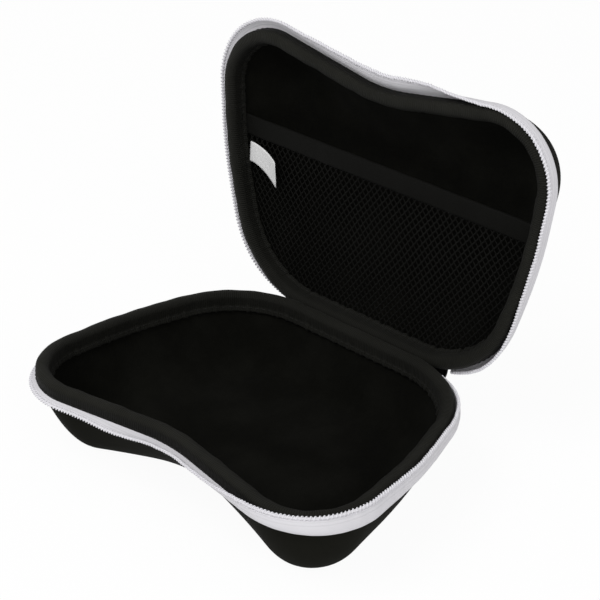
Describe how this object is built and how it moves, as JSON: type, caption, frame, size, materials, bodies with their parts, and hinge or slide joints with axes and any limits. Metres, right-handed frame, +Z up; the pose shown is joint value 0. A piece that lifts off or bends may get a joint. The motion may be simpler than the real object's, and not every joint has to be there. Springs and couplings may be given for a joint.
{
  "type": "controller carrying case",
  "caption": "Moulded game controller carrying case with two-lobed half shells, bound rims, a coil zip, a cloth hinge and a net pocket in the open lid",
  "frame": {"origin": "on the floor under the middle of the base's rim outline", "axes": "+X along the hinge, the longest way across the case; +Y towards the hinge; +Z up, with the base standing on its floor"},
  "size_m": [0.19, 0.1652, 0.1635],
  "materials": {
    "outer_skin": "smooth moulded foam with a tight knitted skin",
    "fleece": "short brushed nap",
    "binding": "ribbed woven tape",
    "zip_tape": "woven twill tape",
    "zip_coil": "nylon coil",
    "hinge_cloth": "woven cloth",
    "slider_metal": "black enamel",
    "net": "knitted net",
    "elastic": "ribbed elastic",
    "tag_cloth": "smooth satin tag"
  },
  "bodies": {
    "base": {"base_shell": "outer_skin", "base_lining": "fleece", "base_binding": "binding", "base_zip_tape": "zip_tape", "base_zip_coil": "zip_coil", "hinge_strip": "hinge_cloth", "zip_slider": "slider_metal"},
    "lid": {"lid_shell": "outer_skin", "lid_lining": "fleece", "lid_binding": "binding", "lid_zip_tape": "zip_tape", "lid_zip_coil": "zip_coil", "pocket_net": "net", "pocket_band": "elastic", "label_tag": "tag_cloth"},
    "pull": {"zip_pull": "slider_metal"}
  },
  "joints": [
    {"name": "lid_hinge", "type": "hinge", "parent": "base", "child": "lid", "pos_m": [0, 0.0596, 0.0353], "axis": [1, 0, 0], "range_deg": [-10, 94], "deforming": ["base_zip_tape", "base_zip_coil", "lid_zip_tape", "lid_zip_coil", "hinge_strip"]},
    {"name": "pull_swing", "type": "hinge", "parent": "base", "child": "pull", "pos_m": [-0.06153, 0.05895, 0.02408], "axis": [0.566, -0.7582, 0.3237], "range_deg": [-70, 70]}
  ]
}
